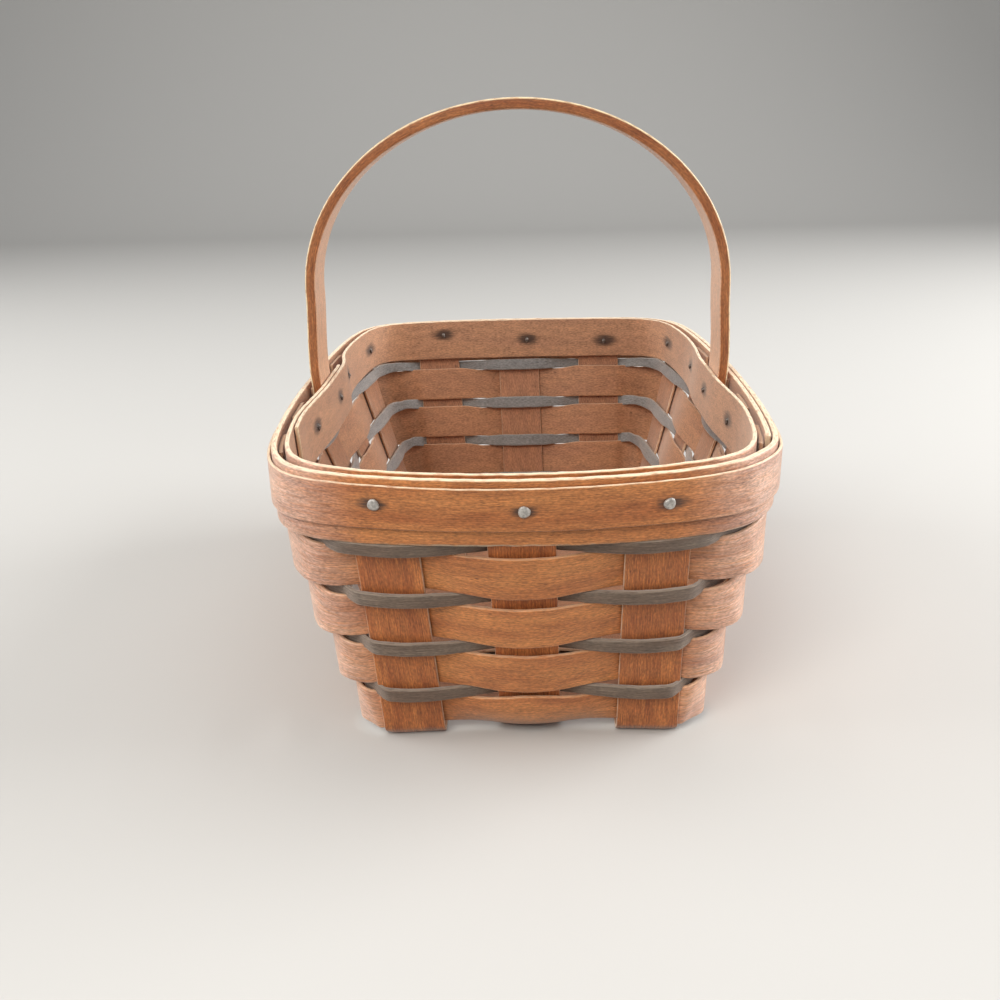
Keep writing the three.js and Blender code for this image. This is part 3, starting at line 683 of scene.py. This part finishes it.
# %% Edges of the weavers
def wide_edges(level):
    """Rises of the edges in millimetres: down at the bottom where the splint is outside, up at the
    top, and both up round a front corner, most and slowest near the rim. Round a back corner they
    part. Level is 0 in the bottom course, whose low edge has to stay off the floor, and 1 in the
    top one."""

    def edges(place):
        f = round_corner(place)
        wave = np.cos(math.pi * place)
        front, away = front_share(place), 1 - smooth(f, 0.75, 1)
        on_front = front_share(place, 1.6, 2.4)
        slow = level**2
        top_rise = mix(1.6, 3.0 + 0.2 * slow, front)
        low_rise = mix(-2.2 if level else -0.3, 0.6, front)
        over, under = smooth(wave, 0, 0.7), smooth(-wave, 0.2, 0.8)
        pressed_up = 0.9 * over + 1.5 * (1 - on_front) * under
        pressed_down = mix(-1.4 if level else -0.4, -0.7, on_front) * smooth(-wave, 0, 1)
        up = smooth(f, 0.22, 0.5 + 0.32 * slow) * away
        down = mix(smooth(f, 0.27, 0.42), smooth(f, 0.22, 0.5), front) * away
        return mix(pressed_up, top_rise, up), mix(pressed_down, low_rise, down)

    return edges


def narrow_edges(level):
    """Rises of the edges: up at the top over a stake, both up round a corner, and a little apart
    inside the sides and the back, where the strip lies flatter."""

    def edges(place):
        f = round_corner(place)
        wave = np.cos(math.pi * place)
        corner_rise = mix(0.8, 0.8 * (1 - level), front_share(place))
        lifted = corner_rise * smooth(f, 0.25, 0.5) * (1 - smooth(f, 0.75, 1))
        over, behind = smooth(wave, 0, 0.7), smooth(-wave, 0, 0.7)
        spread = 0.5 * behind * (1 - front_share(place, 1.6, 2.4))
        pressed = 0.5 * behind if level == 1 else 0.4 * over + spread
        return lifted + pressed, lifted - spread

    return edges


# %% The eight weavers
def add_weaver(kind, course, width, thickness, outside_odd, lap_at, top, material, edges, **more):
    """One weaver from a quarter of a stake before its lap to a quarter of a stake past it."""
    name = f"{kind}_weaver_{course + 1}"
    level = course / (courses - 1)
    tuck, chord, dive_depth = (-2.0, -2.5, -1.2) if level == 1 else (-1.0, -3.6, -1.6)
    dive_from = mix(0.15, 0.24, level**2)
    away = weaver_path(thickness, outside_odd, lap_at, top, tuck, chord, dive_depth, dive_from)
    start, end = lap_at - half_lap, lap_at + stakes_round + half_lap
    seed = 100 * (course + 1) + (50 if kind == "narrow" else 0)
    shape = edges(level)
    piece = round_strip(name + "_fine", start, end, top, width, thickness, away, seed, shape, **more)
    stand_in(piece, name, material)


for course in range(courses):
    top = bottom_weaver_top + course * course_height
    wide_lap, narrow_lap = (14, 3) if course % 2 == 0 else (4, 15)
    lift = bottom_weaver_lift if course == 0 else 0.0
    wide = (wide_width, wide_thickness, True, wide_lap, top, weaver_wood, wide_edges)
    narrow = (narrow_width, narrow_thickness, False, narrow_lap, top + narrow_rise, dyed_wood, narrow_edges)
    # The wide weavers' bottom edges are painted less pale than their tops, a painted shade.
    add_weaver("wide", course, *wide, lift=lift, low_cut=0.3)
    add_weaver("narrow", course, *narrow, across=5)

# %% [markdown]
# ## Rim bands
#
# Three bands clamp the tops of the stakes. The inner one bulges round the handle's legs, the
# outer one is the stoutest, and a thin trim lies over it, a little lower. Each is longer than
# the rim is round, so that its end laps over its start: outside it for the outer two, and inside
# it for the inner one. The laps, and the slopes that lead over them, are counted in stakes, like
# every place round the basket.

# %% Paths of the bands
lap_rise, outer_lap_rise = 0.65, 0.375
inner_from, inner_to = 12.5, 30.75
outer_from, outer_to = 2.875, 23.25
trim_from, trim_to = 8.5, 25.5


def risen(place, start, rise=lap_rise):
    """1 where a band has come all the way round to its own start."""
    return smooth(place, start + stakes_round - rise, start + stakes_round)


def inner_away(place):
    """Close to the stakes, but behind the handle's legs at places 5 and 13."""
    free = -(stake_thickness / 2 + inner_gap + inner_thickness / 2)
    pressed = -(outside_stake + handle_thickness + clearance + inner_thickness / 2)
    at_leg = 1 - smooth(distance_from(place, right_leg), stake_width / 2 / side_spacing, 1.5)
    return mix(free, pressed, at_leg) - (inner_thickness + clearance) * risen(place, inner_from)


def outer_away(place):
    """Against the stakes, and one layer further out in the lap."""
    return outside_stake + outer_thickness / 2 + outer_layer * risen(place, outer_from, outer_lap_rise)


def trim_away(place):
    """On the outer band, or on its lap where that is doubled."""
    past = (place - outer_from + outer_lap_rise) % stakes_round
    doubled = outer_to - outer_from - stakes_round + outer_lap_rise
    out = smooth(past, 0, outer_lap_rise) - smooth(past, doubled, doubled + outer_lap_rise)
    on_outer = outside_stake + outer_layer + trim_thickness / 2 + outer_layer * out
    return on_outer + (trim_thickness + clearance) * risen(place, trim_from)


def edges_of(low_rise):
    """A level top edge and a bottom edge that rises by the same everywhere."""
    return lambda place: (0.0, low_rise)


# %% The three bands
bands = (
    ("rim_inner_band", inner_from, inner_to, 0, rim_height - inner_rise, inner_thickness, inner_away),
    ("rim_outer_band", outer_from, outer_to, 0, rim_height - clearance, outer_thickness, outer_away),
    ("rim_trim_band", trim_from, trim_to, trim_drop, trim_height, trim_thickness, trim_away),
)
# How far each band's bottom edge rises, and how pale it is, which is painted shade where it is
# less pale than the top edge.
low_edges = (0.0, 0.4), (-0.5, 0.8), (0.0, 0.0)
for i, (name, start, end, lower, width, thickness, away) in enumerate(bands):
    low_rise, low_cut = low_edges[i]
    top = rim_top - lower * math.cos(rim_lean)
    shape = (start, end, top, width, thickness, away, 600 + 10 * i, edges_of(low_rise))
    piece = round_strip(name + "_fine", *shape, nails=lower, low_cut=low_cut)
    stand_in(piece, name, band_wood)

# %% [markdown]
# ## Stakes
#
# A stake is one long splint that comes down a wall, runs under the basket and goes up the
# opposite wall. Under the basket the stakes cross each other in a plain weave, and each rises
# and dips by one thickness as it passes over and under.

# %% Stretches of a stake
def upright_part(place, level, turned, lengths, column, side):
    """Rings up one wall. Level, the stake's height in the bottom weave, fades out in the fold."""
    number = int(place) % stakes_round
    on_end = wall_of[number] % 2 == 0
    wall_profile = end_profile if on_end else side_profile
    profile = middle_profile if on_end and from_middle[number] == 0 else wall_profile
    reach, height, slope = profile.at(lengths(profile)[:, None])
    hung = (height, slope, reach - wall_profile.reach_at(height))
    settled = smooth(lengths(profile)[:, None], 0, profile.fold_length / 2)
    away = side[None, :] - level * (1 - settled)
    return point_at(float(place), hung, away, turned * column[None, :])


def upright_lengths(profile):
    """Close steps through the fold, wider ones up the wall, and three more to round the end."""
    end = profile.length_to(rim_top) - stake_drop
    fold = np.linspace(0, profile.fold_length, 15)
    wall = np.linspace(profile.fold_length, end - 0.3, 42)[1:]
    return np.concatenate([fold, wall, end - np.array([0.12, 0.036, 0.0])])


def weave_level(position, middles, levels, forwards):
    """Level at each crossing, with a smooth step from one crossing's edge to the next one's."""
    level = np.full(position.shape, levels[0])
    for i in range(len(middles) - 1):
        leave = forwards * middles[i] + crossing_flat
        reach = forwards * middles[i + 1] - crossing_flat
        level = level + (levels[i + 1] - levels[i]) * smooth(forwards * position, leave, reach)
    return level


# %% Eight stakes from rim to rim
def add_stake(name, first, second, axis, middles, starts_above, seed):
    """Down one wall, along the bottom and up the other, as one row of rings."""
    drop, side, cut = section(stake_width, stake_thickness, 0.3, 11)
    column = drop - stake_width / 2
    sign = np.array([1 if (i % 2 == 0) == starts_above else -1 for i in range(len(middles))])
    levels = sign * crossing / 2
    down = upright_part(first, levels[0], 1, upright_lengths, column, side)[::-1]
    up = upright_part(second, levels[-1], -1, upright_lengths, column, side)
    share = np.linspace(0, 1, 40 * len(middles))[1:-1, None, None]
    bottom = mix(down[-1][None], up[0][None], share)
    forwards = np.sign(middles[1] - middles[0])
    level = weave_level(bottom[..., axis], middles, levels, forwards)
    bottom[..., 2] = bottom_level + level - side[None, :]
    points = np.concatenate([down, bottom, up])
    inner = np.broadcast_to((side < 0) * 1.0, points.shape[:2])
    ends = np.zeros((len(points), 1))
    ends[[0, 1, -2, -1]] = 1
    tone = np.random.default_rng(seed).uniform(-1, 1)
    piece = skin(name + "_fine", points, np.maximum(cut[None, :], ends), inner, tone)
    stand_in(piece, name, stake_wood)


long_middles = np.arange(-2, 3) * side_spacing
cross_middles = np.array([1, 0, -1]) * end_spacing
for i, side_name in enumerate(("left", "centre", "right")):
    add_stake(f"long_stake_{side_name}", i, 10 - i, 1, long_middles, i == 1, 700 + i)
for i in range(5):
    add_stake(f"cross_stake_{i + 1}", 3 + i, 15 - i, 0, cross_middles, i % 2 == 0, 710 + i)

# %% [markdown]
# ## Handle
#
# The handle is one strap of thicker wood, steamed and bent over a form. Its legs stand between
# the stakes and the inner band, right down to the bottom of the rim, and above the rim they rise
# nearly straight into a round arch.

# %% Path of the strap
def strap_path():
    """Line up the rim, cubic Bezier to the spring of the arch and a quarter of an ellipse to the
    crown, then the same mirrored. Gives x and z from the right foot to the left one."""
    beside = -(outside_stake + handle_thickness / 2)
    foot, at_rim = (
        point_at(right_leg, hang(right_leg, rim_top, drop), beside)[[0, 2]] - [rim_shift, 0]
        for drop in (rim_height - inner_rise, 0.0)
    )
    spring = np.array([at_rim[0] - leg_draw_in, arch_spring])
    pull = (arch_spring - at_rim[1]) / 3
    low = at_rim + pull * np.array([math.sin(rim_lean), math.cos(rim_lean)])
    high = spring - [0, pull]
    leg = foot + np.linspace(0, 1, 12)[:-1, None] * (at_rim - foot)
    t = np.linspace(0, 1, 25)[:-1, None]
    rise = (1 - t) ** 3 * at_rim + 3 * (1 - t) ** 2 * t * low + 3 * (1 - t) * t**2 * high + t**3 * spring
    angle = np.linspace(0, math.pi / 2, 70)[:, None]
    arch_rise = handle_height - handle_thickness / 2 - arch_spring
    arch = np.hstack([spring[0] * np.cos(angle), arch_spring + arch_rise * np.sin(angle)])
    right = np.concatenate([leg, rise, arch])
    return np.concatenate([right, right[-2::-1] * [-1, 1]])


# %% The bent strap
path = strap_path()
ways = np.gradient(path, axis=0)
ways = ways / np.linalg.norm(ways, axis=1, keepdims=True)
drop, side, cut = section(handle_width, handle_thickness, handle_rounding, 9)
strap_along = np.concatenate([[0], np.cumsum(np.linalg.norm(np.diff(path, axis=0), axis=1))])
thick = side[None, :] * (1 + 0.03 * wander(801, strap_along[:, None]))
wide = (drop[None, :] - handle_width / 2) * (1 + 0.008 * wander(802, strap_along[:, None]))
strap = np.stack(
    [
        path[:, :1] + ways[:, 1:] * thick + rim_shift,
        wide,
        path[:, 1:] - ways[:, :1] * thick,
    ],
    -1,
)
# The two outer edges are painted pale, partly wear that took the stain off and partly a painted
# highlight where they catch the light. The inside face is painted paler, partly less stain and
# partly a painted highlight.
edge_wear_and_highlight_at = handle_thickness / 2 - handle_rounding * np.array([1, 0.6, 0.24, 0.05, 0])
arris = np.interp(side, edge_wear_and_highlight_at, [0, 0.8, 1, 0.8, 0])
broad_inside = (side < 0.3 * handle_rounding - handle_thickness / 2) * 1.0
handle = skin("handle_fine", strap, arris[None, :], broad_inside[None, :], 0.2)
stand_in(handle, "handle", handle_wood)

# %% [markdown]
# ## Nails
#
# A small nail is driven through the whole stack at every stake, and its point is turned over
# inside. Each is a round rod along a bent line, whose radius swells into a nearly flat head and
# shrinks to a point at the other end.
#
# The steel is bare and old. Spots of tarnish and dents from the hammer, about 0.7 mm across, make
# the heads a mottled grey, and the points inside, which nothing rubs bright, are browner.

# %% Dull steel
steel = new_material("dull steel nail")
place_on_nail = add(steel, "TexCoord", output="Object")
spots = add(steel, "TexNoise", {"Vector": place_on_nail, "Scale": 1500.0, "Detail": 3.0})
grey = add(steel, "Mix", {"Factor": spots, 6: linear("#4f4a46"), 7: linear("#ece7e0")}, **mix_colours)
is_point = add(steel, "Attribute", output="Fac", attribute_name="inner")
browner = add(steel, "Math", {0: is_point, 1: 0.8}, **multiply)
steel_colour = add(steel, "Mix", {"Factor": browner, 6: grey, 7: linear("#5b4d44")}, **mix_colours)
dents = add(steel, "Bump", {"Height": spots, "Strength": 0.6, "Distance": 0.0002})
steel_looks = {"Base Color": steel_colour, "Metallic": 0.7, "Roughness": 0.5, "Normal": dents}
add(steel, "OutputMaterial", {"Surface": add(steel, "BsdfPrincipled", steel_looks)})


# %% Sixteen clinched nails
def layer_reach(away, start, end, place, pick):
    """The outermost or innermost of a band's layers at a stake."""
    return pick(away(float(turn)) for turn in (place, place + stakes_round) if start < turn < end)


hook_radius, point_length, head_edge = 0.45, 1.5, 0.12


def add_nail(place, seed):
    """Centre(s) + radius(s) * (cos * first + sin * second), with s from the point to the head. The
    centre lies over the wood, turns through a quarter circle and goes out through the bands."""
    hung = hang(float(place), rim_top, nail_drop + nail_lower[place])
    middle = point_at(float(place), hung, 0.0, nail_aside[place])
    facing = point_at(float(place), hung, 1.0, nail_aside[place]) - middle
    head = layer_reach(trim_away, trim_from, trim_to, place, max) + trim_thickness / 2
    tip = layer_reach(inner_away, inner_from, inner_to, place, min) - inner_thickness / 2
    turn = np.random.default_rng(seed).uniform(-0.6, 0.6) - math.pi / 2
    across = np.cross([0, 0, 1], facing)
    across = across / np.linalg.norm(across)
    up = np.cross(facing, across)
    along_point = across * math.cos(turn) + up * math.sin(turn)

    bend = np.linspace(0, math.pi / 2, 8)[::-1]
    point_out = tip - 0.6 * hook_radius + hook_radius * np.concatenate([np.zeros(6), 1 - np.cos(bend)])
    point_over = np.linspace(point_length, hook_radius, 7)[:-1]
    point_size = np.concatenate([np.linspace(0.12, 0.5, 6), np.linspace(0.52, nail_shank / 2, 8)])
    dome = np.radians(np.linspace(0, 88, 9))
    dome_out = head_edge + (nail_head_height - head_edge) * np.sin(dome)
    dome_size = nail_head / 2 * np.cos(dome) ** 0.4
    collar_out = [-0.02, 0, head_edge - 0.02]
    collar_size = [nail_shank / 2, 0.93 * nail_head / 2, nail_head / 2]
    out = np.concatenate([point_out, head + np.concatenate([collar_out, dome_out])])
    over = np.concatenate([point_over, hook_radius * np.sin(bend), np.zeros(12)])
    size = np.concatenate([point_size, collar_size, dome_size])

    centre = middle + out[:, None] * facing + over[:, None] * along_point
    angle = (np.arange(20) + 0.5) / 20 * 2 * math.pi
    way = np.gradient(centre, axis=0)
    way = way / np.linalg.norm(way, axis=1, keepdims=True)
    first = np.cross(facing, along_point)[None, :].repeat(len(centre), 0)
    second = np.cross(way, first)
    lumpy = 1 + 0.05 * np.sin(3 * angle + seed)[None, :]
    ring = np.cos(angle)[None, :, None] * first[:, None] + np.sin(angle)[None, :, None] * second[:, None]
    points = centre[:, None] + ring * (size[:, None] * lumpy)[..., None]
    is_point = (np.arange(len(centre)) < len(point_size))[:, None] * 1.0
    piece = skin(f"nail_{place + 1}_fine", points, np.zeros((1, 1)), is_point, 0.0)
    stand_in(piece, f"nail_{place + 1}", steel)


for place in range(stakes_round):
    add_nail(place, 900 + place)

# %% [markdown]
# ## Studio and camera
#
# The basket stands on a floor of matt paper that curves up into a backdrop. To the camera and in
# reflections the paper is pale, but it sends light back as a darker one would, or the outward
# leaning walls would glow from below.
#
# One soft light hangs above and in front, as a window would, and a weak one overhead. Two more
# stand at the sides, the stronger on the right, because in daylight the corners of the basket are
# brighter than its front. The camera stands where the photograph was taken from: low, close, and
# looking slightly down the length of the basket. Its place, its lens and its three angles were
# fitted to points of the basket measured on the photograph.


# %% Floor and backdrop
def backdrop_surface():
    """A floor that turns up through a quarter circle, extruded along X."""
    bend = np.linspace(0, math.pi / 2, 24)
    y = np.concatenate([[-1.6], 1.2 + 0.6 * np.sin(bend), [1.8]])
    z = np.concatenate([[0.0], 0.6 * (1 - np.cos(bend)), [2.2]])
    x = np.array([-2.5, 2.5])
    points = np.stack(np.broadcast_arrays(x[None, :], y[:, None], z[:, None]), -1).reshape(-1, 3)
    i = np.arange(len(y) - 1)[:, None] * 2
    faces = (i + np.array([0, 1, 3, 2])).tolist()
    mesh = bpy.data.meshes.new("backdrop")
    mesh.from_pydata(points.tolist(), [], faces)
    mesh.shade_smooth()
    return mesh


paper = new_material("matt studio paper")
seen = add(paper, "LightPath", output="Is Camera Ray")
for ray in ("Is Glossy Ray", "Is Transmission Ray"):
    reflected = add(paper, "LightPath", output=ray)
    seen = add(paper, "Math", {0: seen, 1: reflected}, operation="MAXIMUM")
shades = {"Factor": seen, 6: linear("#8f8a83"), 7: linear("#c2c0bc")}
paper_looks = {"Base Color": add(paper, "Mix", shades, **mix_colours), "Roughness": 0.9}
add(paper, "OutputMaterial", {"Surface": add(paper, "BsdfPrincipled", paper_looks)})
backdrop = bpy.data.objects.new("backdrop", backdrop_surface())
backdrop.data.materials.append(paper)
bpy.context.scene.collection.objects.link(backdrop)

# %% Lights
world = bpy.data.worlds.new("studio")
world.use_nodes = True
world.node_tree.nodes["Background"].inputs["Color"].default_value = linear("#eef1f5")
world.node_tree.nodes["Background"].inputs["Strength"].default_value = 0.45
bpy.context.scene.world = world


def add_light(name, spot, target, size, power, colour):
    """A square area light that faces a point."""
    data = bpy.data.lights.new(name, "AREA")
    data.size, data.energy, data.color = size, power, linear(colour)[:3]
    lamp = bpy.data.objects.new(name, data)
    lamp.location = spot
    lamp.rotation_euler = (Vector(target) - Vector(spot)).to_track_quat("-Z", "Y").to_euler()
    bpy.context.scene.collection.objects.link(lamp)


add_light("window", (-0.4, -0.85, 0.95), (0, 0, 0.06), 0.6, 9.0, "#fffaf2")
add_light("overhead", (0.1, 0.35, 1.2), (0, 0, 0.06), 0.9, 3.5, "#ffffff")
add_light("left", (-1.0, 0.05, 0.5), (0, 0, 0.08), 0.8, 8.0, "#ffffff")
add_light("right", (1.0, 0.15, 0.5), (0, 0, 0.08), 0.8, 16.0, "#ffffff")

# %% Camera at the photograph's place
yaw, pitch, roll = -0.0234, math.radians(20.79), -0.0266
right = Vector((math.cos(yaw), -math.sin(yaw), 0))
down = Vector((-math.sin(yaw) * math.sin(pitch), -math.cos(yaw) * math.sin(pitch), -math.cos(pitch)))
forward = Vector((math.sin(yaw) * math.cos(pitch), math.cos(yaw) * math.cos(pitch), -math.sin(pitch)))
image_right = right * math.cos(roll) - down * math.sin(roll)
image_down = right * math.sin(roll) + down * math.cos(roll)
turn = Matrix((image_right, -image_down, -forward)).transposed().to_4x4()
camera_data = bpy.data.cameras.new("camera")
camera_data.lens, camera_data.sensor_width = 35.766, 36
camera = bpy.data.objects.new("camera", camera_data)
camera.matrix_world = Matrix.Translation((-0.000663, -0.30345, 0.1512)) @ turn
bpy.context.scene.collection.objects.link(camera)
bpy.context.scene.camera = camera
bpy.context.scene.view_settings.view_transform = "Standard"
